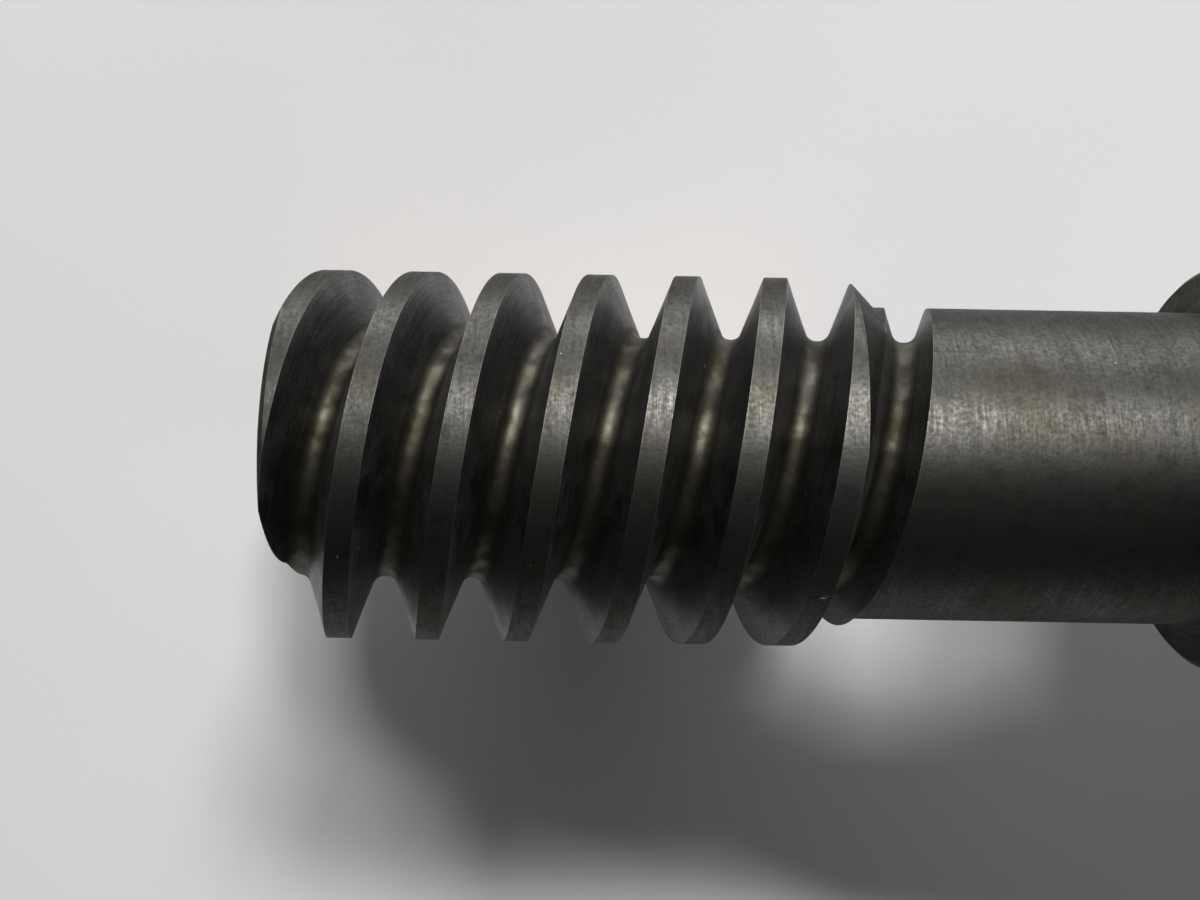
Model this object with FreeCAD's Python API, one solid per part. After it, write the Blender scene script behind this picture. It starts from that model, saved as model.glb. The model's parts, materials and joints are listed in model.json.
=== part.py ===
import FreeCAD, Part
import math
import os

from FreeCAD import Vector

os.makedirs("parts", exist_ok=True)

# A worm gear set: a two-start left-hand worm cut in one piece with its shaft, carried overhung in
# two deep-groove ball bearings, and a bronze worm wheel on a steel hub.
# Millimetres. The origin is the centre of the wheel's bore, +X runs along the worm's shaft towards
# its drive end, +Y along the wheel's bore, and +Z from the wheel up to the worm.

# ---------------------------------------------------------------- driving dimensions
MODULE = 1.5                    # axial module of the worm
WORM_STARTS = 2
WHEEL_TEETH = 30
PRESSURE_ANGLE = math.radians(20.0)
WORM_PITCH_RADIUS = 8.5
ADDENDUM = MODULE
DEDENDUM = 1.25 * MODULE
ROOT_FILLET = 0.43 * MODULE     # rounded root of the worm's grooves
FLANK_CLEARANCE = 0.04          # running gap between each worm flank and the wheel's
CREST_OFFSET = 3.28             # where along X the crest of a worm tooth stands at the very top

WORM_START_X = -15.25           # free end of the worm
WORM_END_X = 13.4               # where the tooth tips end, and fall at 45 degrees to the neck
END_CONE_OFFSET = 0.4           # how far that cone was turned off the axis, towards +Y
END_CHAMFER = 0.3

NECK_RADIUS = 8.5
COLLAR_START_X = 33.9
COLLAR_RADIUS = 11.0
COLLAR_LENGTH = 9.0
SEAT_RADIUS = 8.5
RELIEF_RADIUS = 8.3             # the shaft under the inner spacer
SPACER_LENGTH = 16.0
SHAFT_THREAD_RADIUS = 8.5       # M17 x 1
SHAFT_THREAD_PITCH = 1.0
THREAD_PITCH_RADIUS = 8.175     # pitch radius of M17 x 1, where shaft and nut meet
THREAD_CREST_RADIUS = 8.45      # the free turns past the nut
THREAD_ROOT_RADIUS = 7.875
THREAD_OVERRUN = 2.0
UNDERCUT_RADIUS = 7.5
UNDERCUT_LENGTH = 1.5
DRIVE_RADIUS = 7.0
DRIVE_LENGTH = 25.0
DRIVE_CHAMFER = 0.8
KEYWAY_WIDTH = 5.0
SHAFT_KEYWAY_DEPTH = 3.0
DRIVE_KEYWAY_LENGTH = 18.0
DRIVE_KEYWAY_MARGIN = 3.0       # from the drive end's shoulder to the keyway
DRIVE_TAP_RADIUS = 2.1          # core of M5
DRIVE_TAP_LENGTH = 12.5
DRIVE_TAP_MOUTH_DEPTH = 1.2
CENTRE_DRILL_RADIUS = 1.0
CENTRE_DRILL_LENGTH = 2.5
CENTRE_CONE_RADIUS = 2.1
CENTRE_CONE_HALF_ANGLE = math.radians(30.0)

BEARING_OUTER_RADIUS = 20.0     # 17 x 40 x 12 deep-groove ball bearings
BEARING_WIDTH = 12.0
BALL_COUNT = 8
BALL_RADIUS = 3.3735
BALL_CIRCLE_RADIUS = 14.25
BALL_GAP = 0.012                # running gap between a ball and its groove
BALL_GROOVE_RADIUS = 3.475
INNER_SHOULDER_RADIUS = 12.3
OUTER_SHOULDER_RADIUS = 16.55
RING_CHAMFER = 0.6
CAGE_INNER_RADIUS = 12.9
CAGE_OUTER_RADIUS = 15.6
CAGE_THICKNESS = 0.6
CAGE_POCKET_GAP = 0.06
RIVET_RADIUS = 0.55
RIVET_HEAD_RADIUS = 0.9
RIVET_HEAD_HEIGHT = 0.35

INNER_SPACER_RADIUS = 11.0
OUTER_SPACER_RADIUS = 19.5
OUTER_SPACER_BORE = 17.5
SPACER_CHAMFER = 0.3

TAB_SLOT_WIDTH = 4.0            # slot for the tab washer's inner tab
TAB_SLOT_DEPTH = 1.6
TAB_SLOT_LEAD_IN = 1.0          # how far the slot starts under the rear bearing
TAB_WASHER_THICKNESS = 1.0
TAB_WASHER_RADIUS = 12.0
TAB_TIP_RADIUS = 15.2
TAB_COUNT = 11
TAB_WIDTH = 3.4
TAB_BEND_LENGTH = 3.6
TAB_BEND_RADIUS = 12.1          # inner face of the tab bent into the nut
NUT_RADIUS = 14.0
NUT_WIDTH = 5.0
NUT_SLOTS = 4
NUT_SLOT_WIDTH = 4.0
NUT_SLOT_DEPTH = 2.0
NUT_CHAMFER = 0.8

RIM_HALF_WIDTH = 6.5
RIM_CHAMFER = 0.7
RIM_WEB_THICKNESS = 5.0         # web behind the hub's flange, where the screws are tapped
RIM_WEB_RECESS_RADIUS = 17.0
HUB_BORE_RADIUS = 7.0
HUB_HALF_LENGTH = 8.0
HUB_RADIUS = 11.5
HUB_FLANGE_RADIUS = 18.0
HUB_FLANGE_THICKNESS = 2.6
HUB_KEYWAY_DEPTH = 2.3
HUB_CHAMFER = 0.5

RIM_SCREW_COUNT = 6
RIM_SCREW_CIRCLE_RADIUS = 14.5
SCREW_RADIUS = 1.5              # M3
SCREW_PITCH_RADIUS = 1.34       # pitch radius of M3, where screw and rim meet
SCREW_CLEARANCE_RADIUS = 1.7
SCREW_LENGTH = 8.0
SCREW_HEAD_RADIUS = 2.75
SCREW_HEAD_HEIGHT = 3.0
SCREW_SOCKET_ACROSS_FLATS = 2.5
SCREW_SOCKET_DEPTH = 1.4
SCREW_HEAD_CHAMFER = 0.3
WASHER_THICKNESS = 0.6
WASHER_INNER_RADIUS = 1.6
WASHER_OUTER_RADIUS = 2.65
WASHER_SPLIT = 0.5
DOWEL_RADIUS = 1.5
DOWEL_LENGTH = 7.0
DOWEL_CHAMFER = 0.25

# ---------------------------------------------------------------- worked out from them
AXIAL_PITCH = math.pi * MODULE
LEAD = WORM_STARTS * AXIAL_PITCH
WHEEL_PITCH_RADIUS = 0.5 * MODULE * WHEEL_TEETH
CENTRE_DISTANCE = WORM_PITCH_RADIUS + WHEEL_PITCH_RADIUS
WORM_TIP_RADIUS = WORM_PITCH_RADIUS + ADDENDUM
WORM_ROOT_RADIUS = WORM_PITCH_RADIUS - DEDENDUM
THROAT_ARC_RADIUS = WORM_PITCH_RADIUS - ADDENDUM
RIM_OUTER_RADIUS = WHEEL_PITCH_RADIUS + 1.25 * MODULE
HOB_TIP_RADIUS = WORM_TIP_RADIUS + 0.25 * MODULE

NECK_START_X = WORM_END_X + WORM_TIP_RADIUS - NECK_RADIUS + END_CONE_OFFSET
COLLAR_END_X = COLLAR_START_X + COLLAR_LENGTH
FRONT_BEARING_X = COLLAR_END_X + 0.5 * BEARING_WIDTH
SPACER_START_X = COLLAR_END_X + BEARING_WIDTH
SPACER_END_X = SPACER_START_X + SPACER_LENGTH
REAR_BEARING_X = SPACER_END_X + 0.5 * BEARING_WIDTH
REAR_BEARING_END_X = SPACER_END_X + BEARING_WIDTH
NUT_START_X = REAR_BEARING_END_X + TAB_WASHER_THICKNESS
NUT_END_X = NUT_START_X + NUT_WIDTH
THREAD_END_X = NUT_END_X + THREAD_OVERRUN
DRIVE_START_X = THREAD_END_X + UNDERCUT_LENGTH
DRIVE_END_X = DRIVE_START_X + DRIVE_LENGTH

ORIGIN = Vector(0, 0, 0)
X_AXIS = Vector(1, 0, 0)
Y_AXIS = Vector(0, 1, 0)
Z_AXIS = Vector(0, 0, 1)
OVERSIZE = 2.0                  # how far a cutting tool stands out of the metal
CUTTER_OVERRUN = 0.7            # the same for the wheel's tooth spaces


# ---------------------------------------------------------------- shared helpers
def save(name, shape):
    """Write one node's STEP file."""
    shape.exportStep("parts/" + name + ".step")


def on_worm_axis(shape):
    """Lift a shape built round the X axis up to the worm's axis."""
    moved = shape.copy()
    moved.translate(Vector(0, 0, CENTRE_DISTANCE))
    return moved


def turned_about_x(outline):
    """Solid of revolution about X from (x, radius) points."""
    points = [Vector(x, radius, 0) for x, radius in outline]
    points.append(points[0])
    face = Part.Face(Part.makePolygon(points))
    return face.revolve(ORIGIN, X_AXIS, 360)


def turned_about_y(outline):
    """Solid of revolution about Y from (y, radius) points."""
    points = [Vector(radius, y, 0) for y, radius in outline]
    points.append(points[0])
    face = Part.Face(Part.makePolygon(points))
    return face.revolve(ORIGIN, Y_AXIS, 360)


def ring_outline(start, end, inner, outer, chamfer):
    """Chamfered ring outline for turned_about_x or turned_about_y."""
    return [
        (start, inner + chamfer),
        (start, outer - chamfer),
        (start + chamfer, outer),
        (end - chamfer, outer),
        (end, outer - chamfer),
        (end, inner + chamfer),
        (end - chamfer, inner),
        (start + chamfer, inner),
    ]


def turned_copies(shape, axis, count, first_angle=0.0):
    """Copies of a shape spaced evenly round an axis through the origin."""
    copies = []
    for index in range(count):
        copy = shape.copy()
        copy.rotate(ORIGIN, axis, first_angle + 360.0 * index / count)
        copies.append(copy)
    return copies


def trough_solid(sections):
    """Closed solid under a smooth trough that runs through rows of points.

    Each row is one open cross-section, from one lip to the other, and the lips are joined flat.
    The trough is one smooth surface, split into short patches that a long helix can be cut with.
    """
    rows_per_patch = 6
    surface = Part.BSplineSurface()
    surface.interpolate(sections)
    first_v, last_v = surface.bounds()[2:]
    knots = surface.getUKnots()
    breaks = knots[0:-1:rows_per_patch] + [knots[-1]]
    faces = []
    for start, end in zip(breaks[:-1], breaks[1:]):
        patch = surface.copy()
        patch.segment(start, end, first_v, last_v)
        near_lip = patch.vIso(first_v).toShape()
        far_lip = patch.vIso(last_v).toShape()
        faces += [patch.toShape(), Part.makeRuledSurface(near_lip, far_lip)]
    for end in (breaks[0], breaks[-1]):
        profile = surface.uIso(end).toShape()
        lid = Part.makeLine(profile.Vertexes[-1].Point, profile.Vertexes[0].Point)
        faces.append(Part.Face(Part.Wire([profile, lid])))
    sewn = Part.makeShell(faces)
    sewn.sewShape()
    solid = Part.Solid(sewn.Shells[0])
    if solid.Volume < 0:
        solid.reverse()
    return solid


# ---------------------------------------------------------------- worm shaft
def worm_groove_half_width(radius):
    """Half the width of a worm groove, along X, at a radius."""
    return 0.25 * AXIAL_PITCH + (radius - WORM_PITCH_RADIUS) * math.tan(PRESSURE_ANGLE)


def worm_groove_profile():
    """(x, radius) points across one groove: flank, rounded root, flank."""
    lip_radius = WORM_TIP_RADIUS + 0.8 * MODULE
    arc_x = worm_groove_half_width(WORM_ROOT_RADIUS)
    arc_x -= ROOT_FILLET * math.tan(0.25 * math.pi - 0.5 * PRESSURE_ANGLE)
    arc_radius = WORM_ROOT_RADIUS + ROOT_FILLET
    tangent_radius = arc_radius - ROOT_FILLET * math.sin(PRESSURE_ANGLE)
    flank_steps = 7
    arc_steps = 7
    half = []
    for step in range(flank_steps):
        radius = lip_radius + (tangent_radius - lip_radius) * step / flank_steps
        half.append((worm_groove_half_width(radius), radius))
    for step in range(arc_steps):
        turn = PRESSURE_ANGLE + (0.5 * math.pi - PRESSURE_ANGLE) * step / arc_steps
        x = arc_x + ROOT_FILLET * math.cos(turn)
        half.append((x, arc_radius - ROOT_FILLET * math.sin(turn)))
    mirrored = [(-x, radius) for x, radius in half]
    return mirrored + [(0.0, WORM_ROOT_RADIUS)] + half[::-1]


def worm_groove_cutter(exit_x, exit_angle, full_depth_angle, run_out_angle):
    """Tool that cuts one start's groove and lifts out of the neck past the tooth tips.

    Angles are degrees about +X from +Y. The groove's centre is at exit_x at exit_angle, and a
    left-hand thread moves towards +X as the angle falls.
    """
    angle_step = 15.0
    lift_height = DEDENDUM + 0.75 * MODULE
    entry_x = WORM_START_X - worm_groove_half_width(WORM_TIP_RADIUS) - OVERSIZE
    last_angle = full_depth_angle - run_out_angle
    first_angle = exit_angle + 360.0 * (exit_x - entry_x) / LEAD
    steps = math.ceil((first_angle - last_angle) / angle_step)
    profile = worm_groove_profile()
    sections = []
    for step in range(steps + 1):
        angle = first_angle + (last_angle - first_angle) * step / steps
        centre_x = exit_x - LEAD * (angle - exit_angle) / 360.0
        run_out = max(0.0, (full_depth_angle - angle) / run_out_angle)
        lift = lift_height * run_out ** 2
        turn = math.radians(angle)
        row = []
        for x, radius in profile:
            reach = radius + lift
            row.append(Vector(centre_x + x, reach * math.cos(turn), reach * math.sin(turn)))
        sections.append(row)
    return trough_solid(sections)


def worm_shaft_blank():
    """The turned shaft: worm, neck, collar, bearing seats, nut thread and drive end."""
    outline = [
        (WORM_START_X, 0.0),
        (WORM_START_X, WORM_TIP_RADIUS - END_CHAMFER),
        (WORM_START_X + END_CHAMFER, WORM_TIP_RADIUS),
        (NECK_START_X, WORM_TIP_RADIUS),
        (NECK_START_X, NECK_RADIUS),
        (COLLAR_START_X, NECK_RADIUS),
        (COLLAR_START_X, COLLAR_RADIUS - END_CHAMFER),
        (COLLAR_START_X + END_CHAMFER, COLLAR_RADIUS),
        (COLLAR_END_X - END_CHAMFER, COLLAR_RADIUS),
        (COLLAR_END_X, COLLAR_RADIUS - END_CHAMFER),
        (COLLAR_END_X, SEAT_RADIUS),
        (SPACER_START_X, SEAT_RADIUS),
        (SPACER_START_X + END_CHAMFER, RELIEF_RADIUS),
        (SPACER_END_X - END_CHAMFER, RELIEF_RADIUS),
        (SPACER_END_X, SEAT_RADIUS),
        (NUT_START_X, SEAT_RADIUS),
        (NUT_START_X, THREAD_PITCH_RADIUS),
        (NUT_END_X, THREAD_PITCH_RADIUS),
    ]
    ridges = int(THREAD_OVERRUN / SHAFT_THREAD_PITCH)
    for ridge in range(ridges):
        ridge_x = NUT_END_X + (ridge + 0.5) * SHAFT_THREAD_PITCH
        outline.append((ridge_x - 0.25 * SHAFT_THREAD_PITCH, THREAD_CREST_RADIUS))
        outline.append((ridge_x, THREAD_CREST_RADIUS))
        outline.append((ridge_x + 0.5 * SHAFT_THREAD_PITCH, THREAD_ROOT_RADIUS))
    outline += [
        (THREAD_END_X, UNDERCUT_RADIUS),
        (DRIVE_START_X, UNDERCUT_RADIUS),
        (DRIVE_START_X, DRIVE_RADIUS),
        (DRIVE_END_X - DRIVE_CHAMFER, DRIVE_RADIUS),
        (DRIVE_END_X, DRIVE_RADIUS - DRIVE_CHAMFER),
        (DRIVE_END_X, 0.0),
    ]
    return turned_about_x(outline)


def worm_end_cone_cutter():
    """Ring that brings the tooth tips down to the neck, and leaves the neck itself whole."""
    start_x = WORM_END_X - OVERSIZE
    end_x = NECK_START_X + OVERSIZE
    outline = [
        (start_x, WORM_TIP_RADIUS + OVERSIZE),
        (end_x, WORM_TIP_RADIUS + WORM_END_X - end_x),
        (end_x, WORM_TIP_RADIUS + OVERSIZE),
    ]
    ring = turned_about_x(outline)
    ring.translate(Y_AXIS * END_CONE_OFFSET)
    neck = Part.makeCylinder(NECK_RADIUS, end_x - start_x, Vector(start_x, 0, 0), X_AXIS)
    return ring.cut(neck)


def drive_keyway_cutter():
    """Round-ended keyway in the +Y side of the drive end."""
    half_width = 0.5 * KEYWAY_WIDTH
    floor_y = DRIVE_RADIUS - SHAFT_KEYWAY_DEPTH
    height = SHAFT_KEYWAY_DEPTH + OVERSIZE
    start_x = DRIVE_START_X + DRIVE_KEYWAY_MARGIN
    straight = DRIVE_KEYWAY_LENGTH - KEYWAY_WIDTH
    corner = Vector(start_x + half_width, floor_y, -half_width)
    slot = Part.makeBox(straight, height, KEYWAY_WIDTH, corner)
    for end_x in (start_x + half_width, start_x + half_width + straight):
        slot = slot.fuse(Part.makeCylinder(half_width, height, Vector(end_x, floor_y, 0), Y_AXIS))
    return slot


def tab_slot_cutter():
    """Slot along the nut thread for the tab washer's inner tab."""
    start_x = REAR_BEARING_END_X - TAB_SLOT_LEAD_IN
    length = DRIVE_START_X - start_x
    corner = Vector(start_x, -0.5 * TAB_SLOT_WIDTH, SHAFT_THREAD_RADIUS - TAB_SLOT_DEPTH)
    return Part.makeBox(length, TAB_SLOT_WIDTH, TAB_SLOT_DEPTH + OVERSIZE, corner)


def drive_centre_hole():
    """Tapped centre hole in the drive end."""
    core = Part.makeCylinder(DRIVE_TAP_RADIUS, DRIVE_TAP_LENGTH, Vector(DRIVE_END_X, 0, 0), -X_AXIS)
    mouth_radius = DRIVE_TAP_RADIUS + DRIVE_TAP_MOUTH_DEPTH * math.tan(CENTRE_CONE_HALF_ANGLE)
    mouth = Part.makeCone(
        mouth_radius, DRIVE_TAP_RADIUS, DRIVE_TAP_MOUTH_DEPTH, Vector(DRIVE_END_X, 0, 0), -X_AXIS)
    tip_start = Vector(DRIVE_END_X - DRIVE_TAP_LENGTH, 0, 0)
    drill_tip = Part.makeCone(DRIVE_TAP_RADIUS, 0, DRIVE_TAP_RADIUS / math.sqrt(3), tip_start, -X_AXIS)
    return core.fuse([mouth, drill_tip])


def worm_end_centre():
    """Turning centre in the worm's free end."""
    cone_depth = (CENTRE_CONE_RADIUS - CENTRE_DRILL_RADIUS) / math.tan(CENTRE_CONE_HALF_ANGLE)
    face = Vector(WORM_START_X, 0, 0)
    cone = Part.makeCone(CENTRE_CONE_RADIUS, CENTRE_DRILL_RADIUS, cone_depth, face, X_AXIS)
    drill = Part.makeCylinder(CENTRE_DRILL_RADIUS, cone_depth + CENTRE_DRILL_LENGTH, face, X_AXIS)
    return cone.fuse(drill)


def build_worm_shaft():
    """Worm and shaft in one piece of hardened steel."""
    exit_x = CREST_OFFSET + 3 * AXIAL_PITCH
    grooves = [
        worm_groove_cutter(exit_x, 0.0, -5.0, 60.0),
        worm_groove_cutter(exit_x, 180.0, 222.0, 57.0),
    ]
    shaft = worm_shaft_blank().cut(worm_end_cone_cutter())
    shaft = shaft.cut([drive_keyway_cutter(), tab_slot_cutter()])
    shaft = shaft.cut([drive_centre_hole(), worm_end_centre()])
    for groove in grooves:
        shaft = shaft.cut(groove)
    save("worm_shaft", on_worm_axis(shaft.Solids[0]))


# ---------------------------------------------------------------- ball bearings
def bearing_inner_ring(centre_x):
    """Inner ring with its ball groove."""
    start = centre_x - 0.5 * BEARING_WIDTH
    end = centre_x + 0.5 * BEARING_WIDTH
    ring = turned_about_x(ring_outline(start, end, SEAT_RADIUS, INNER_SHOULDER_RADIUS, RING_CHAMFER))
    groove_centre = BALL_CIRCLE_RADIUS - BALL_RADIUS - BALL_GAP + BALL_GROOVE_RADIUS
    groove = Part.makeTorus(groove_centre, BALL_GROOVE_RADIUS, Vector(centre_x, 0, 0), X_AXIS)
    return ring.cut(groove)


def bearing_outer_ring(centre_x):
    """Outer ring with its ball groove."""
    start = centre_x - 0.5 * BEARING_WIDTH
    end = centre_x + 0.5 * BEARING_WIDTH
    outline = ring_outline(start, end, OUTER_SHOULDER_RADIUS, BEARING_OUTER_RADIUS, RING_CHAMFER)
    groove_centre = BALL_CIRCLE_RADIUS + BALL_RADIUS + BALL_GAP - BALL_GROOVE_RADIUS
    groove = Part.makeTorus(groove_centre, BALL_GROOVE_RADIUS, Vector(centre_x, 0, 0), X_AXIS)
    return turned_about_x(outline).cut(groove)


def bearing_balls(centre_x):
    """The balls, as separate solids."""
    ball = Part.makeSphere(BALL_RADIUS, Vector(centre_x, BALL_CIRCLE_RADIUS, 0))
    return Part.makeCompound(turned_copies(ball, X_AXIS, BALL_COUNT))


def cage_half(centre_x, side):
    """One pressed half of the ribbon cage, on the +X side for side 1 and the -X side for -1."""
    pocket_radius = BALL_RADIUS + CAGE_POCKET_GAP
    dome_radius = pocket_radius + CAGE_THICKNESS
    depth = dome_radius + OVERSIZE
    middle = Vector(centre_x, 0, 0)
    outward = X_AXIS * side

    def tube(length):
        outer = Part.makeCylinder(CAGE_OUTER_RADIUS, length, middle, outward)
        return outer.cut(Part.makeCylinder(CAGE_INNER_RADIUS, length, middle, outward))

    ball_centre = Vector(centre_x, BALL_CIRCLE_RADIUS, 0)
    domes = turned_copies(Part.makeSphere(dome_radius, ball_centre), X_AXIS, BALL_COUNT)
    pockets = turned_copies(Part.makeSphere(pocket_radius, ball_centre), X_AXIS, BALL_COUNT)
    rivet_holes = turned_copies(
        Part.makeCylinder(RIVET_RADIUS, 2 * CAGE_THICKNESS,
                          Vector(centre_x - CAGE_THICKNESS, BALL_CIRCLE_RADIUS, 0), X_AXIS),
        X_AXIS, BALL_COUNT, 180.0 / BALL_COUNT)
    band = tube(CAGE_THICKNESS).fuse([tube(depth).common(dome) for dome in domes])
    return band.removeSplitter().cut(pockets + rivet_holes)


def cage_rivets(centre_x):
    """The cage's rivets, as separate solids."""
    foot = Vector(centre_x - CAGE_THICKNESS, BALL_CIRCLE_RADIUS, 0)
    head = Vector(centre_x - CAGE_THICKNESS - RIVET_HEAD_HEIGHT, BALL_CIRCLE_RADIUS, 0)
    tail = Vector(centre_x + CAGE_THICKNESS, BALL_CIRCLE_RADIUS, 0)
    rivet = Part.makeCylinder(RIVET_RADIUS, 2 * CAGE_THICKNESS, foot, X_AXIS)
    for end in (head, tail):
        rivet = rivet.fuse(Part.makeCylinder(RIVET_HEAD_RADIUS, RIVET_HEAD_HEIGHT, end, X_AXIS))
    return Part.makeCompound(turned_copies(rivet, X_AXIS, BALL_COUNT, 180.0 / BALL_COUNT))


def build_bearing(name, centre_x):
    """One bearing's six nodes."""
    save(name + "_bearing_inner_ring", on_worm_axis(bearing_inner_ring(centre_x)))
    save(name + "_bearing_outer_ring", on_worm_axis(bearing_outer_ring(centre_x)))
    save(name + "_bearing_balls", on_worm_axis(bearing_balls(centre_x)))
    save(name + "_cage_left", on_worm_axis(cage_half(centre_x, -1)))
    save(name + "_cage_right", on_worm_axis(cage_half(centre_x, 1)))
    save(name + "_cage_rivets", on_worm_axis(cage_rivets(centre_x)))


# ---------------------------------------------------------------- spacers, tab washer and nut
def build_spacers():
    """Sleeves that hold the two bearings apart."""
    inner = ring_outline(
        SPACER_START_X, SPACER_END_X, SEAT_RADIUS, INNER_SPACER_RADIUS, SPACER_CHAMFER)
    outer = ring_outline(
        SPACER_START_X, SPACER_END_X, OUTER_SPACER_BORE, OUTER_SPACER_RADIUS, SPACER_CHAMFER)
    save("inner_spacer", on_worm_axis(turned_about_x(inner)))
    save("outer_spacer", on_worm_axis(turned_about_x(outer)))


def build_tab_washer():
    """Tab washer: an inner tab in the shaft's slot and one outer tab bent into the nut."""
    face = Vector(REAR_BEARING_END_X, 0, 0)
    disc = Part.makeCylinder(TAB_WASHER_RADIUS, TAB_WASHER_THICKNESS, face, X_AXIS)
    overlap = TAB_WASHER_THICKNESS
    tab_start = TAB_WASHER_RADIUS - overlap
    tab_corner = Vector(REAR_BEARING_END_X, -0.5 * TAB_WIDTH, tab_start)
    tab = Part.makeBox(TAB_WASHER_THICKNESS, TAB_WIDTH, TAB_TIP_RADIUS - tab_start, tab_corner)
    tabs = turned_copies(tab, X_AXIS, TAB_COUNT)
    top_trim = Part.makeBox(
        TAB_WASHER_THICKNESS, TAB_WIDTH, TAB_TIP_RADIUS,
        Vector(REAR_BEARING_END_X, -0.5 * TAB_WIDTH, TAB_BEND_RADIUS + TAB_WASHER_THICKNESS))
    tabs[0] = tabs[0].cut(top_trim)
    bent_corner = Vector(REAR_BEARING_END_X, -0.5 * TAB_WIDTH, TAB_BEND_RADIUS)
    bent = Part.makeBox(
        TAB_WASHER_THICKNESS + TAB_BEND_LENGTH, TAB_WIDTH, TAB_WASHER_THICKNESS, bent_corner)
    hole = Part.makeCylinder(SEAT_RADIUS, TAB_WASHER_THICKNESS, face, X_AXIS)
    inner_tab = Part.makeBox(
        TAB_WASHER_THICKNESS, TAB_SLOT_WIDTH, TAB_SLOT_DEPTH + overlap,
        Vector(REAR_BEARING_END_X, -0.5 * TAB_SLOT_WIDTH, SEAT_RADIUS - TAB_SLOT_DEPTH))
    washer = disc.fuse(tabs + [bent]).cut(hole).fuse(inner_tab).removeSplitter()
    save("tab_washer", on_worm_axis(washer))


def build_lock_nut():
    """Slotted round nut that clamps the bearings against the collar."""
    outline = [
        (NUT_START_X, THREAD_PITCH_RADIUS),
        (NUT_START_X, NUT_RADIUS - NUT_CHAMFER),
        (NUT_START_X + NUT_CHAMFER, NUT_RADIUS),
        (NUT_END_X - NUT_CHAMFER, NUT_RADIUS),
        (NUT_END_X, NUT_RADIUS - NUT_CHAMFER),
        (NUT_END_X, THREAD_PITCH_RADIUS + END_CHAMFER),
        (NUT_END_X - END_CHAMFER, THREAD_PITCH_RADIUS),
    ]
    slot_corner = Vector(
        NUT_START_X - OVERSIZE, -0.5 * NUT_SLOT_WIDTH, NUT_RADIUS - NUT_SLOT_DEPTH)
    slot = Part.makeBox(
        NUT_WIDTH + 2 * OVERSIZE, NUT_SLOT_WIDTH, NUT_SLOT_DEPTH + OVERSIZE, slot_corner)
    nut = turned_about_x(outline).cut(turned_copies(slot, X_AXIS, NUT_SLOTS))
    save("lock_nut", on_worm_axis(nut))


# ---------------------------------------------------------------- worm wheel
def hob_half_width(radius):
    """Half the width of the hob's tooth, along X, at a radius about the worm's axis."""
    tip_fillet = (0.25 * AXIAL_PITCH - DEDENDUM * math.tan(PRESSURE_ANGLE))
    tip_fillet *= math.cos(PRESSURE_ANGLE) / (1.0 - math.sin(PRESSURE_ANGLE))
    straight = 0.25 * AXIAL_PITCH - (radius - WORM_PITCH_RADIUS) * math.tan(PRESSURE_ANGLE)
    fillet_centre = HOB_TIP_RADIUS - tip_fillet
    if radius < fillet_centre + tip_fillet * math.sin(PRESSURE_ANGLE):
        return straight + FLANK_CLEARANCE
    chord = max(0.0, tip_fillet ** 2 - (radius - fillet_centre) ** 2)
    return math.sqrt(chord) + FLANK_CLEARANCE * chord ** 0.5 / tip_fillet


def wheel_space_angle(wheel_radius, face_offset, side):
    """Angle at which one side of a wheel tooth space stands at a radius, as the hob rolls past.

    side is 1 for the +X flank and -1 for the -X flank. Radians about +Y from +Z.
    """
    hob_reach = math.sqrt(HOB_TIP_RADIUS ** 2 - face_offset ** 2)
    widest_turn = math.acos(min(1.0, (CENTRE_DISTANCE - hob_reach) / wheel_radius))
    roll_steps = 160
    best = None
    for step in range(roll_steps + 1):
        turn = widest_turn * (2.0 * step / roll_steps - 1.0)
        x = wheel_radius * math.sin(turn)
        below_worm = CENTRE_DISTANCE - wheel_radius * math.cos(turn)
        hob_radius = math.hypot(below_worm, face_offset)
        helix_x = -LEAD * math.atan2(face_offset, below_worm) / (2.0 * math.pi)
        edge_x = helix_x + side * hob_half_width(hob_radius)
        angle = turn - (x - edge_x) / WHEEL_PITCH_RADIUS
        if best is None or side * angle > side * best:
            best = angle
    return best


def wheel_space_cutter():
    """Tool for one tooth space at the top of the wheel, as the hob generates it."""
    slice_count = 13
    flank_steps = 12
    half_width = RIM_HALF_WIDTH + CUTTER_OVERRUN
    lip_radius = RIM_OUTER_RADIUS + CUTTER_OVERRUN
    sections = []
    for slice_index in range(slice_count):
        offset = half_width * (2.0 * slice_index / (slice_count - 1) - 1.0)
        floor_radius = CENTRE_DISTANCE - math.sqrt(HOB_TIP_RADIUS ** 2 - offset ** 2)
        row = []
        for step in range(-flank_steps, flank_steps + 1):
            fraction = step / flank_steps
            radius = floor_radius + (lip_radius - floor_radius) * fraction ** 2
            side = 1 if step > 0 else -1
            angle = wheel_space_angle(radius, offset, side)
            row.append(Vector(radius * math.sin(angle), offset, radius * math.cos(angle)))
        sections.append(row)
    return trough_solid(sections)


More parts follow.
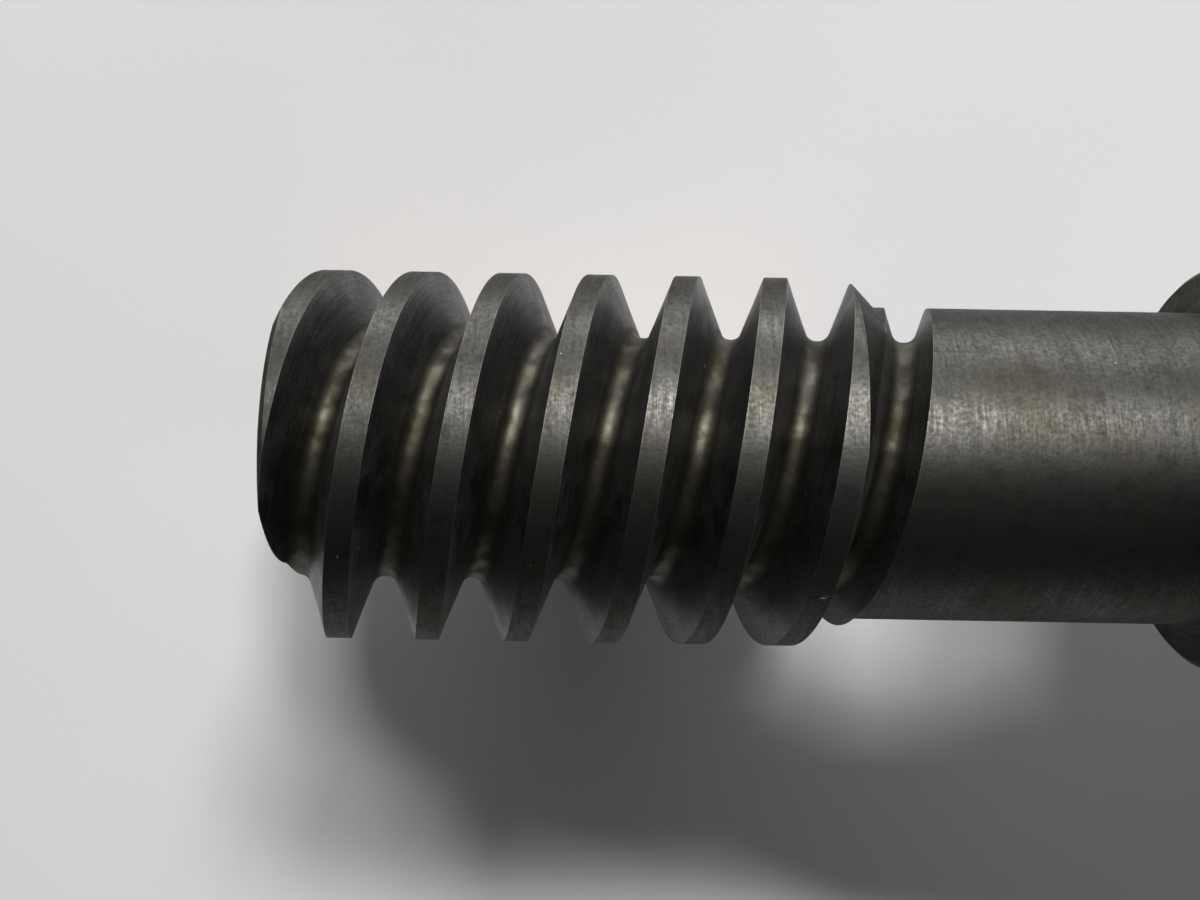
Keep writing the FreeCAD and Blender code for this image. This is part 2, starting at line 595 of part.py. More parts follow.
def rim_blank():
    """Turned bronze rim with its throat, before the teeth are cut."""
    web_start = -RIM_WEB_THICKNESS
    outline = [
        (-RIM_HALF_WIDTH, RIM_WEB_RECESS_RADIUS),
        (-RIM_HALF_WIDTH, RIM_OUTER_RADIUS - RIM_CHAMFER),
        (-RIM_HALF_WIDTH + RIM_CHAMFER, RIM_OUTER_RADIUS),
        (RIM_HALF_WIDTH - RIM_CHAMFER, RIM_OUTER_RADIUS),
        (RIM_HALF_WIDTH, RIM_OUTER_RADIUS - RIM_CHAMFER),
        (RIM_HALF_WIDTH, HUB_FLANGE_RADIUS + HUB_CHAMFER),
        (RIM_HALF_WIDTH - HUB_CHAMFER, HUB_FLANGE_RADIUS),
        (0.0, HUB_FLANGE_RADIUS),
        (0.0, HUB_RADIUS),
        (web_start, HUB_RADIUS),
        (web_start, RIM_WEB_RECESS_RADIUS - HUB_CHAMFER),
        (web_start - HUB_CHAMFER, RIM_WEB_RECESS_RADIUS),
    ]
    throat = Part.makeTorus(CENTRE_DISTANCE, THROAT_ARC_RADIUS, ORIGIN, Y_AXIS)
    return turned_about_y(outline).cut(throat)


def build_rim():
    """Bronze rim with thirty throated teeth, tapped for the screws and reamed for the dowels."""
    first_space = math.degrees(CREST_OFFSET / WHEEL_PITCH_RADIUS)
    spaces = turned_copies(wheel_space_cutter(), Y_AXIS, WHEEL_TEETH, first_space)
    rim = rim_blank()
    for space in spaces:
        rim = rim.cut(space)
    rim = rim.cut(screw_holes(SCREW_PITCH_RADIUS) + dowel_holes())
    save("worm_wheel_rim", rim.Solids[0])


def screw_holes(radius):
    """Holes on the screw circle, right through rim and flange."""
    start = Vector(0, -RIM_HALF_WIDTH, RIM_SCREW_CIRCLE_RADIUS)
    hole = Part.makeCylinder(radius, 2 * RIM_HALF_WIDTH, start, Y_AXIS)
    return turned_copies(hole, Y_AXIS, RIM_SCREW_COUNT)


def dowel_holes():
    """Two reamed holes, each midway between two screws."""
    start = Vector(0, -RIM_HALF_WIDTH, RIM_SCREW_CIRCLE_RADIUS)
    hole = Part.makeCylinder(DOWEL_RADIUS, 2 * RIM_HALF_WIDTH, start, Y_AXIS)
    return turned_copies(hole, Y_AXIS, 2, 180.0 / RIM_SCREW_COUNT)


def build_hub():
    """Steel hub with a flange for the rim and a keyed bore."""
    outline = [
        (-HUB_HALF_LENGTH, HUB_BORE_RADIUS + HUB_CHAMFER),
        (-HUB_HALF_LENGTH, HUB_RADIUS - HUB_CHAMFER),
        (-HUB_HALF_LENGTH + HUB_CHAMFER, HUB_RADIUS),
        (0.0, HUB_RADIUS),
        (0.0, HUB_FLANGE_RADIUS),
        (HUB_FLANGE_THICKNESS - 0.5 * HUB_CHAMFER, HUB_FLANGE_RADIUS),
        (HUB_FLANGE_THICKNESS, HUB_FLANGE_RADIUS - 0.5 * HUB_CHAMFER),
        (HUB_FLANGE_THICKNESS, HUB_RADIUS),
        (HUB_HALF_LENGTH - HUB_CHAMFER, HUB_RADIUS),
        (HUB_HALF_LENGTH, HUB_RADIUS - HUB_CHAMFER),
        (HUB_HALF_LENGTH, HUB_BORE_RADIUS + HUB_CHAMFER),
        (HUB_HALF_LENGTH - HUB_CHAMFER, HUB_BORE_RADIUS),
        (-HUB_HALF_LENGTH + HUB_CHAMFER, HUB_BORE_RADIUS),
    ]
    keyway_corner = Vector(-0.5 * KEYWAY_WIDTH, -HUB_HALF_LENGTH - OVERSIZE, 0.0)
    keyway = Part.makeBox(
        KEYWAY_WIDTH, 2 * (HUB_HALF_LENGTH + OVERSIZE), HUB_BORE_RADIUS + HUB_KEYWAY_DEPTH,
        keyway_corner)
    hub = turned_about_y(outline).cut([keyway])
    hub = hub.cut(screw_holes(SCREW_CLEARANCE_RADIUS) + dowel_holes())
    save("wheel_hub", hub)


def hexagon_prism(across_flats, height, base):
    """Hexagonal prism standing on base along +Y."""
    corner_radius = across_flats / math.sqrt(3)
    points = []
    for corner in range(7):
        turn = math.radians(60 * corner)
        offset = Vector(corner_radius * math.cos(turn), 0, corner_radius * math.sin(turn))
        points.append(base + offset)
    return Part.Face(Part.makePolygon(points)).extrude(Y_AXIS * height)


def build_rim_screws():
    """Socket head screws, as separate solids."""
    seat_y = HUB_FLANGE_THICKNESS + WASHER_THICKNESS
    head_top = seat_y + SCREW_HEAD_HEIGHT
    outline = [
        (seat_y - SCREW_LENGTH, 0.0),
        (seat_y - SCREW_LENGTH, SCREW_PITCH_RADIUS - SCREW_HEAD_CHAMFER),
        (seat_y - SCREW_LENGTH + SCREW_HEAD_CHAMFER, SCREW_PITCH_RADIUS),
        (0.0, SCREW_PITCH_RADIUS),
        (0.0, SCREW_RADIUS),
        (seat_y, SCREW_RADIUS),
        (seat_y, SCREW_HEAD_RADIUS),
        (head_top - SCREW_HEAD_CHAMFER, SCREW_HEAD_RADIUS),
        (head_top, SCREW_HEAD_RADIUS - SCREW_HEAD_CHAMFER),
        (head_top, 0.0),
    ]
    socket_base = Vector(0, head_top - SCREW_SOCKET_DEPTH, 0)
    socket = hexagon_prism(SCREW_SOCKET_ACROSS_FLATS, SCREW_SOCKET_DEPTH + OVERSIZE, socket_base)
    screw = turned_about_y(outline).cut(socket)
    screw.translate(Vector(0, 0, RIM_SCREW_CIRCLE_RADIUS))
    save("rim_screws", Part.makeCompound(turned_copies(screw, Y_AXIS, RIM_SCREW_COUNT)))


def build_rim_lock_washers():
    """Split lock washers under the screw heads, as separate solids."""
    start = HUB_FLANGE_THICKNESS
    outline = [
        (start, WASHER_INNER_RADIUS),
        (start, WASHER_OUTER_RADIUS),
        (start + WASHER_THICKNESS, WASHER_OUTER_RADIUS),
        (start + WASHER_THICKNESS, WASHER_INNER_RADIUS),
    ]
    split = Part.makeBox(
        WASHER_SPLIT, 2 * WASHER_THICKNESS, WASHER_OUTER_RADIUS + OVERSIZE,
        Vector(-0.5 * WASHER_SPLIT, start - 0.5 * WASHER_THICKNESS, 0))
    split.rotate(Vector(0, start + 0.5 * WASHER_THICKNESS, 0), Z_AXIS, 20)
    washer = turned_about_y(outline).cut(split)
    washer.translate(Vector(0, 0, RIM_SCREW_CIRCLE_RADIUS))
    save("rim_lock_washers", Part.makeCompound(turned_copies(washer, Y_AXIS, RIM_SCREW_COUNT)))


def build_rim_dowels():
    """Dowel pins that carry the torque from rim to hub, as separate solids."""
    end = HUB_FLANGE_THICKNESS
    start = end - DOWEL_LENGTH
    outline = [
        (start, 0.0),
        (start, DOWEL_RADIUS - DOWEL_CHAMFER),
        (start + DOWEL_CHAMFER, DOWEL_RADIUS),
        (end - DOWEL_CHAMFER, DOWEL_RADIUS),
        (end, DOWEL_RADIUS - DOWEL_CHAMFER),
        (end, 0.0),
    ]
    dowel = turned_about_y(outline)
    dowel.translate(Vector(0, 0, RIM_SCREW_CIRCLE_RADIUS))
    copies = turned_copies(dowel, Y_AXIS, 2, 180.0 / RIM_SCREW_COUNT)
    save("rim_dowels", Part.makeCompound(copies))


# ---------------------------------------------------------------- the whole set
build_worm_shaft()
build_bearing("front", FRONT_BEARING_X)
build_bearing("rear", REAR_BEARING_X)
build_spacers()
build_tab_washer()
build_lock_nut()
build_rim()
build_hub()
build_rim_screws()
build_rim_lock_washers()
build_rim_dowels()
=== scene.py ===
import json
import math
from collections import namedtuple

import bmesh
import bpy
from mathutils import Matrix, Vector


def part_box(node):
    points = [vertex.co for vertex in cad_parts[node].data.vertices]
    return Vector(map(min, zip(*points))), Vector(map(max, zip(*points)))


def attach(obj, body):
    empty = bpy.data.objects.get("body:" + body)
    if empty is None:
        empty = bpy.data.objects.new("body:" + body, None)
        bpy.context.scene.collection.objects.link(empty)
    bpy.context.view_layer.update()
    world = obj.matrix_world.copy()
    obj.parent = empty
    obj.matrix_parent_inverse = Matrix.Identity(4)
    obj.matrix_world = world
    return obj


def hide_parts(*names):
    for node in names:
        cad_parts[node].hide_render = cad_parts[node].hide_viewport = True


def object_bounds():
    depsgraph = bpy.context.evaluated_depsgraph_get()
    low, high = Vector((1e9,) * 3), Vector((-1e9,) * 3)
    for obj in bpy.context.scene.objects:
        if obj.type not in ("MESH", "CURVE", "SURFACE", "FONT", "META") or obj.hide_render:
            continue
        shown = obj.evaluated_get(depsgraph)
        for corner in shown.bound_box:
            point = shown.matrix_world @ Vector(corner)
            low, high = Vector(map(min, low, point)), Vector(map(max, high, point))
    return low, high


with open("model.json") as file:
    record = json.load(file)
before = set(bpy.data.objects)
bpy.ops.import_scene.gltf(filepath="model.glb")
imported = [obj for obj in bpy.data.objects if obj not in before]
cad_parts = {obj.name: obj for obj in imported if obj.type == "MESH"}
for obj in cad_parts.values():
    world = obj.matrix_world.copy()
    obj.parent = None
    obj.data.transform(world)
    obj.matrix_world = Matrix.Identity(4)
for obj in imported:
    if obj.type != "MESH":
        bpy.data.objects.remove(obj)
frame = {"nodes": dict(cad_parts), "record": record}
CAD_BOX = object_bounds()

# A worm gear set seen from above its worm. Metres, in the CAD frame: +X runs along the worm's shaft
# to its drive end, +Y along the wheel's bore and +Z from the wheel up to the worm.
MM = 0.001

# ---------------------------------------------------------------- sizes of the worm and its shaft
MODULE = 1.5 * MM
AXIAL_PITCH = math.pi * MODULE
LEAD = 2 * AXIAL_PITCH
PRESSURE_ANGLE = math.radians(20)
PITCH_RADIUS = 8.5 * MM
TIP_RADIUS = 10.0 * MM
ROOT_RADIUS = PITCH_RADIUS - 1.25 * MODULE
ROOT_FILLET = 0.43 * MODULE
CREST_OFFSET = 3.28 * MM        # where along X the crest of a tooth stands at the very top
WORM_AXIS_Z = 0.5 * (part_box("worm_shaft")[0].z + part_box("worm_shaft")[1].z)

WORM_START = -15.25 * MM
WORM_END = 13.4 * MM            # where the tooth tips end, in a cone of 45 degrees
EDGE_CHAMFER = 0.3 * MM
NECK_RADIUS = 8.5 * MM
NECK_FILLET = 0.25 * MM
END_CONE_END = WORM_END + TIP_RADIUS - NECK_RADIUS      # where the cone meets the neck
END_CONE_OFFSET = 0.4 * MM      # how far the cone was turned off the axis, towards +Y
COLLAR_START = 33.9 * MM
COLLAR_END = 42.9 * MM
COLLAR_RADIUS = 11.0 * MM
RELIEF_RADIUS = 8.3 * MM
SPACER_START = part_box("inner_spacer")[0].x
SPACER_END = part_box("inner_spacer")[1].x
NUT_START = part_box("lock_nut")[0].x
NUT_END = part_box("lock_nut")[1].x
THREAD_PITCH = 1.0 * MM
THREAD_RADIUS = 8.5 * MM
THREAD_PITCH_RADIUS = 8.175 * MM
THREAD_DEPTH = 0.61 * MM
THREAD_END = NUT_END + 2.0 * MM
UNDERCUT_RADIUS = 7.5 * MM
DRIVE_START = THREAD_END + 1.5 * MM
DRIVE_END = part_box("worm_shaft")[1].x
DRIVE_RADIUS = 7.0 * MM
DRIVE_CHAMFER = 0.8 * MM
KEYWAY_WIDTH = 5.0 * MM
KEYWAY_DEPTH = 3.0 * MM
KEYWAY_LENGTH = 18.0 * MM
KEYWAY_MARGIN = 3.0 * MM
TAB_SLOT_WIDTH = 4.0 * MM
TAB_SLOT_DEPTH = 1.6 * MM
DRIVE_CENTRE_RADIUS = 2.1 * MM  # core of the M5 thread
DRIVE_CENTRE_MOUTH_RADIUS = 2.79 * MM
DRIVE_CENTRE_MOUTH_DEPTH = 1.2 * MM
DRIVE_CENTRE_DEPTH = 12.5 * MM
WORM_CENTRE_RADIUS = 1.0 * MM
WORM_CENTRE_MOUTH_RADIUS = 2.1 * MM
WORM_CENTRE_DRILL_LENGTH = 2.5 * MM

# Each start's groove, in degrees round the axis: where it passes GROOVE_EXIT, where it begins to
# lift out of the neck, and how far round it goes on lifting.
GROOVE_EXIT = CREST_OFFSET + 3 * AXIAL_PITCH
GROOVE_ANGLES = [(0, -5, 60), (180, 222, 57)]

# Small dents that handling has left on the crests' edges: x, degrees round the axis and size.
NICKS = [
    (11.75 * MM, 130.5, 0.50 * MM),
    (1.30 * MM, 62.0, 0.34 * MM),
    (-8.35 * MM, 72.0, 0.30 * MM),
    (-3.9 * MM, 250.0, 0.45 * MM),
]
NICK_SHAPE = (1.5, 1.0, 0.45)   # its size along the shaft, out from it and round it
NICK_STAND_OFF = 0.72           # how far its centre stands out of the crest, in sizes

# ---------------------------------------------------------------- fineness of the meshes
SHAFT_STEPS = 288
HOLE_STEPS = 96
GROOVE_STEP_DEGREES = 2.5
THREAD_STEPS_PER_TURN = 72
STEPS_PER_KNURL = 6
SHAFT_CREASE_DEGREES = 28       # edges sharper than this stay crisp
SCREW_CREASE_DEGREES = 32
CUTTER_MARGIN = 1.0 * MM        # how far a cutter reaches past the surface it cuts

# ---------------------------------------------------------------- sizes of the rim screws
SCREW_COUNT = 6
SCREW_CIRCLE_RADIUS = 14.5 * MM
SCREW_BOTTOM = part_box("rim_screws")[0].y
SCREW_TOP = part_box("rim_screws")[1].y
SCREW_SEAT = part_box("rim_lock_washers")[1].y
SCREW_SHANK_RADIUS = 1.34 * MM
SCREW_HEAD_RADIUS = 2.75 * MM
SCREW_HEAD_CHAMFER = 0.3 * MM
SCREW_SEAT_CHAMFER = 0.1 * MM
SCREW_SOCKET_ACROSS_FLATS = 2.5 * MM
SCREW_SOCKET_DEPTH = 1.4 * MM
KNURL_TEETH = 36
KNURL_DEPTH = 0.11 * MM
KNURL_FADE = 0.15 * MM          # length over which the knurl comes up at each end
SCREW_EXTRA_TURN = 0.7          # radians that each screw is turned further than the one before it

# ---------------------------------------------------------------- camera and floor
CAMERA_HEIGHT = 66.0 * MM       # above the worm's axis
CAMERA_X = 0.85 * MM
CAMERA_Y = 0.46 * MM
CAMERA_ROLL = math.radians(1.0)
SENSOR_WIDTH = 36.0             # millimetres, as Blender's camera states it
FOCAL_LENGTH = 36.0
NEAREST_SEEN = 0.005
FARTHEST_SEEN = 10.0
FLOOR_HALF_SIDE = 3.0


# ---------------------------------------------------------------- mesh helpers
def new_object(name, vertices, faces):
    """Mesh object from lists of vertices and faces, with its normals made to face out."""
    mesh = bpy.data.meshes.new(name)
    mesh.from_pydata([tuple(v) for v in vertices], [], faces)
    build = bmesh.new()
    build.from_mesh(mesh)
    bmesh.ops.remove_doubles(build, verts=build.verts, dist=1e-7)
    bmesh.ops.recalc_face_normals(build, faces=build.faces)
    build.to_mesh(mesh)
    build.free()
    obj = bpy.data.objects.new(name, mesh)
    bpy.context.scene.collection.objects.link(obj)
    return obj


def ring_faces(rings, steps):
    """Quads between neighbouring rings of points, each ring closed on itself."""
    faces = []
    for ring in range(rings - 1):
        for step in range(steps):
            following = (step + 1) % steps
            here = ring * steps
            beyond = here + steps
            faces.append((here + step, here + following, beyond + following, beyond + step))
    return faces


def lathe(name, outline, steps):
    """Turned solid about the worm's axis from (x, radius) points that start and end on the axis."""
    vertices = []
    for x, radius in outline:
        for step in range(steps):
            turn = 2 * math.pi * step / steps
            vertices.append((x, radius * math.cos(turn), WORM_AXIS_Z + radius * math.sin(turn)))
    return new_object(name, vertices, ring_faces(len(outline), steps))


def prism(name, outline, low, high, place):
    """Straight-sided solid from a flat outline; place turns (u, v, height) into a point."""
    count = len(outline)
    vertices = [place(u, v, low) for u, v in outline] + [place(u, v, high) for u, v in outline]
    faces = ring_faces(2, count)
    faces.append(tuple(range(count)))
    faces.append(tuple(range(count, 2 * count)))
    return new_object(name, vertices, faces)


def arc_points(centre_u, centre_v, radius, start_degrees, end_degrees, steps):
    """(u, v) points along an arc; 0 degrees points along +u and 90 along +v."""
    points = []
    for step in range(steps + 1):
        turn = math.radians(start_degrees + (end_degrees - start_degrees) * step / steps)
        points.append((centre_u + radius * math.cos(turn), centre_v + radius * math.sin(turn)))
    return points


def between(start, end, count):
    """Evenly spaced values strictly between two ends."""
    return [start + (end - start) * step / count for step in range(1, count)]


def smooth_by_angle(obj, degrees):
    """Smooth shading, with edges sharper than the angle left crisp."""
    build = bmesh.new()
    build.from_mesh(obj.data)
    limit = math.radians(degrees)
    for face in build.faces:
        face.smooth = True
    for edge in build.edges:
        edge.smooth = len(edge.link_faces) == 2 and edge.calc_face_angle(0) < limit
    build.to_mesh(obj.data)
    build.free()


def cut_away(obj, cutters):
    """Cuts the cutters out of an object, one after the other, and removes them."""
    for cutter in cutters:
        modifier = obj.modifiers.new("cut", "BOOLEAN")
        modifier.operation = "DIFFERENCE"
        modifier.solver = "EXACT"
        modifier.object = cutter
        modifier.material_mode = "TRANSFER"
        evaluated = obj.evaluated_get(bpy.context.evaluated_depsgraph_get())
        cut_mesh = bpy.data.meshes.new_from_object(evaluated)
        obj.modifiers.remove(modifier)
        obj.data = cut_mesh
        bpy.data.objects.remove(cutter)


# ---------------------------------------------------------------- procedural materials
# Sockets that say where a point of a turned part is, in millimetres and radians.
Turned = namedtuple("Turned", "place along across up radius angle")


class Recipe:
    """One procedural material. Each method adds a node and returns the socket it gives."""

    def __init__(self, name):
        self.material = bpy.data.materials.new(name)
        self.material.use_nodes = True
        self.tree = self.material.node_tree
        self.surface = self.tree.nodes["Principled BSDF"].inputs

    def feed(self, socket, value):
        """Links a socket to another one, or sets its value."""
        if isinstance(value, bpy.types.NodeSocket):
            self.tree.links.new(value, socket)
        else:
            socket.default_value = value

    def add(self, kind, inputs, output=0, **settings):
        """Adds a shader node with its settings and inputs."""
        node = self.tree.nodes.new("ShaderNode" + kind)
        for setting, value in settings.items():
            setattr(node, setting, value)
        for key, value in inputs.items():
            self.feed(node.inputs[key], value)
        return node.outputs[output]

    def math(self, operation, *values):
        return self.add("Math", dict(enumerate(values)), operation=operation)

    def vector(self, x, y, z):
        return self.add("CombineXYZ", {0: x, 1: y, 2: z})

    def remap(self, value, low, high, new_low=0.0, new_high=1.0):
        """Straight-line change of range, held at both ends."""
        return self.add("MapRange", {0: value, 1: low, 2: high, 3: new_low, 4: new_high})

    def mix(self, factor, first, second):
        """Mix of two colours, or of a colour and a socket."""
        return self.add("Mix", {0: factor, 6: first, 7: second}, output=2, data_type="RGBA")

    def noise(self, place, scale, detail=3.0):
        """Soft noise with about that many features to each unit of the place."""
        return self.add("TexNoise", {"Vector": place, "Scale": scale, "Detail": detail})

    def turned(self, axis):
        """Place in millimetres from a part's axis: the worm's along X, or the wheel's along Y."""
        centre_z = WORM_AXIS_Z if axis == "X" else 0.0
        here = self.add("TexCoord", {}, output="Object")
        here = self.add("VectorMath", {0: here, 1: (0, 0, centre_z)}, operation="SUBTRACT")
        place = self.add("VectorMath", {0: here, "Scale": 1 / MM}, operation="SCALE")
        split = self.add("SeparateXYZ", {0: place}).node.outputs
        along = split[0] if axis == "X" else split[1]
        across = split[1] if axis == "X" else split[0]
        up = split[2]
        squares = self.math("MULTIPLY_ADD", up, up, self.math("MULTIPLY", across, across))
        radius = self.math("SQRT", squares)
        angle = self.math("ARCTAN2", up, across)
        return Turned(place, along, across, up, radius, angle)

    def drawn_out(self, turned, position, width, length, detail=2.0):
        """Noise in narrow bands of a position, each drawn out round the axis. Millimetres."""
        stretched = self.vector(
            self.math("DIVIDE", position, width),
            self.math("DIVIDE", turned.across, length),
            self.math("DIVIDE", turned.up, length))
        return self.noise(stretched, 1.0, detail)

    def ring_marks(self, turned, width, length):
        """The marks of a lathe or a grinding wheel, on faces and on cylinders alike."""
        return self.drawn_out(turned, self.math("ADD", turned.along, turned.radius), width, length)

    def specks(self, place, spacing, size, share):
        """Small round specks, 1 inside and 0 outside, in some of the cells of a loose grid."""
        cells = self.add("TexVoronoi", {"Vector": place, "Scale": 1 / spacing}).node.outputs
        near = self.remap(cells["Distance"], 0.6 * size / spacing, size / spacing, 1.0, 0.0)
        chosen = self.math("LESS_THAN", self.add("SeparateColor", {0: cells["Color"]}), share)
        return self.math("MULTIPLY", near, chosen)

    def worn_edges(self, radius):
        """0 on open surface, rising to 1 where the surface bends within a radius in millimetres."""
        rounded = self.add("Bevel", {"Radius": radius * MM}, samples=6)
        flat = self.add("NewGeometry", {}, output="Normal")
        bend = self.add("VectorMath", {0: rounded, 1: flat}, output="Value", operation="DOT_PRODUCT")
        return self.remap(bend, 0.995, 0.88)

    def bump(self, height, depth, normal=None):
        """Relief whose height of 0 to 1 stands for a depth in millimetres."""
        inputs = {"Height": height, "Distance": depth * MM}
        if normal is not None:
            inputs["Normal"] = normal
        return self.add("Bump", inputs)

    def finish(self, colour, roughness, normal, metallic=1.0, edge_tint=1.0):
        """Fills in the surface; an edge tint under 1 dulls a metal where it is seen aslant."""
        self.feed(self.surface["Base Color"], colour)
        self.feed(self.surface["Specular Tint"], grey(edge_tint))
        self.feed(self.surface["Roughness"], roughness)
        self.feed(self.surface["Normal"], normal)
        self.feed(self.surface["Metallic"], metallic)
        return self.material


def grey(value, warmth=0.0):
    """Linear grey, a little towards olive or, below 0, towards blue."""
    return (value * (1 + 0.3 * warmth), value, value * (1 - warmth), 1.0)


def worm_turned_steel():
    """Crests, neck and journals of the hardened worm: dark satin steel, ground round and round."""
    recipe = Recipe("worm_turned_steel")
    turned = recipe.turned("X")
    broad = recipe.ring_marks(turned, 0.30, 3.5)
    fine = recipe.ring_marks(turned, 0.07, 1.6)
    clouds = recipe.noise(turned.place, 0.22, 5.0)
    patches = recipe.noise(turned.place, 1.1, 6.0)
    grain = recipe.noise(turned.place, 5.0, 5.0)
    marks = recipe.math("ADD", recipe.math("MULTIPLY", broad, 0.45), recipe.math("MULTIPLY", fine, 0.55))
    tone = recipe.math("MULTIPLY_ADD", grain, 0.5, recipe.math("MULTIPLY", marks, 0.5))
    steel = recipe.mix(recipe.remap(tone, 0.36, 0.66), grey(0.045, 0.08), grey(0.105, 0.06))
    stained = recipe.mix(recipe.remap(clouds, 0.42, 0.7, 0.0, 0.6), steel, grey(0.05, 0.30))
    stained = recipe.mix(recipe.remap(patches, 0.52, 0.70, 0.0, 0.5), stained, grey(0.035, 0.10))
    edges = recipe.worn_edges(0.10)
    specks = recipe.specks(turned.place, 1.3, 0.055, 0.30)
    colour = recipe.mix(recipe.math("MULTIPLY", edges, 0.45), stained, grey(0.20, 0.05))
    colour = recipe.mix(specks, colour, grey(0.40))
    satin = recipe.remap(tone, 0.36, 0.64, 0.48, 0.33)
    roughness = recipe.math("MULTIPLY_ADD", clouds, 0.14, satin)
    relief = recipe.bump(marks, 0.004)
    relief = recipe.bump(grain, 0.007, relief)
    relief = recipe.bump(specks, 0.02, relief)
    return recipe.finish(colour, roughness, relief, edge_tint=0.6)


def worm_groove_steel():
    """Flanks and roots of the worm's grooves, with milling marks that follow the thread."""
    recipe = Recipe("worm_groove_steel")
    turned = recipe.turned("X")
    advance = recipe.math("MULTIPLY", turned.angle, LEAD / MM / (2 * math.pi))
    helix = recipe.math("ADD", turned.along, advance)
    half_pitch = 0.5 * AXIAL_PITCH / MM
    in_groove = recipe.math("WRAP", helix, half_pitch, -half_pitch)
    down_flank = recipe.math("MULTIPLY_ADD", turned.radius, 2.0, in_groove)
    marks = recipe.drawn_out(turned, down_flank, 0.16, 5.0)
    mottle = recipe.noise(turned.place, 0.7, 4.0)
    grain = recipe.noise(turned.place, 6.0, 4.0)
    root = recipe.remap(turned.radius, ROOT_RADIUS / MM + 0.1, ROOT_RADIUS / MM + 0.75, 1.0, 0.0)
    tone = recipe.math("MULTIPLY_ADD", grain, 0.5, recipe.math("MULTIPLY", marks, 0.5))
    flank = recipe.mix(recipe.remap(tone, 0.38, 0.62), grey(0.075, 0.02), grey(0.16, 0.02))
    oily = recipe.mix(recipe.remap(mottle, 0.40, 0.60), grey(0.036, 0.30), grey(0.090, 0.22))
    colour = recipe.mix(root, flank, oily)
    edges = recipe.worn_edges(0.08)
    colour = recipe.mix(recipe.math("MULTIPLY", edges, 0.35), colour, grey(0.22, 0.04))
    specks = recipe.specks(turned.place, 1.2, 0.07, 0.20)
    colour = recipe.mix(specks, colour, grey(0.5))
    dull = recipe.remap(mottle, 0.35, 0.65, 0.36, 0.50)
    shine = recipe.remap(mottle, 0.35, 0.65, 0.62, 0.46)
    root_roughness = recipe.math("MULTIPLY", root, recipe.math("SUBTRACT", shine, dull))
    roughness = recipe.math("ADD", dull, root_roughness)
    relief = recipe.bump(marks, 0.006)
    relief = recipe.bump(mottle, 0.02, relief)
    relief = recipe.bump(grain, 0.008, relief)
    relief = recipe.bump(specks, 0.03, relief)
    return recipe.finish(colour, roughness, relief, edge_tint=0.85)


def machined_metal(name, axis, dark, light, mark_width, mark_depth, roughness, wear=0.4):
    """Bright metal turned or ground round an axis, with faint stains and worn edges."""
    recipe = Recipe(name)
    turned = recipe.turned(axis)
    broad = recipe.ring_marks(turned, 3 * mark_width, 9.0)
    fine = recipe.ring_marks(turned, mark_width, 4.0)
    clouds = recipe.noise(turned.place, 0.3, 5.0)
    grain = recipe.noise(turned.place, 9.0, 3.0)
    marks = recipe.math("MULTIPLY_ADD", broad, 0.4, recipe.math("MULTIPLY", fine, 0.6))
    colour = recipe.mix(recipe.remap(marks, 0.38, 0.62), dark, light)
    colour = recipe.mix(recipe.remap(clouds, 0.45, 0.75, 0.0, 0.5), colour, dark)
    edges = recipe.worn_edges(0.12)
    bright = tuple(min(1.0, 1.35 * channel) for channel in light)
    colour = recipe.mix(recipe.math("MULTIPLY", edges, wear), colour, bright)
    spread = recipe.remap(marks, 0.35, 0.65, 0.8 * roughness, 1.15 * roughness)
    rough = recipe.math("MULTIPLY_ADD", clouds, 0.5 * roughness, spread)
    relief = recipe.bump(marks, mark_depth)
    relief = recipe.bump(grain, 0.4 * mark_depth, relief)
    return recipe.finish(colour, rough, relief)


def polished_ball_steel():
    """Bearing balls: nearly a mirror, with the faintest smears of oil."""
    recipe = Recipe("polished_ball_steel")
    turned = recipe.turned("X")
    smears = recipe.noise(turned.place, 0.8, 6.0)
    scratches = recipe.noise(turned.place, 14.0, 2.0)
    colour = recipe.mix(recipe.remap(smears, 0.4, 0.65), grey(0.62, -0.02), grey(0.50, 0.02))
    roughness = recipe.remap(smears, 0.35, 0.7, 0.06, 0.20)
    return recipe.finish(colour, roughness, recipe.bump(scratches, 0.0006))


def pressed_cage_steel():
    """Cages and rivets: soft sheet steel, dull from pressing, brighter where it was drawn."""
    recipe = Recipe("pressed_cage_steel")
    turned = recipe.turned("X")
    drawn = recipe.drawn_out(turned, turned.radius, 0.25, 1.2, 4.0)
    mottle = recipe.noise(turned.place, 2.2, 5.0)
    edges = recipe.worn_edges(0.10)
    colour = recipe.mix(recipe.remap(mottle, 0.35, 0.65), grey(0.30, 0.04), grey(0.42, 0.01))
    colour = recipe.mix(recipe.math("MULTIPLY", edges, 0.4), colour, grey(0.6))
    roughness = recipe.remap(drawn, 0.35, 0.65, 0.30, 0.46)
    relief = recipe.bump(mottle, 0.012)
    relief = recipe.bump(drawn, 0.004, relief)
    return recipe.finish(colour, roughness, relief)


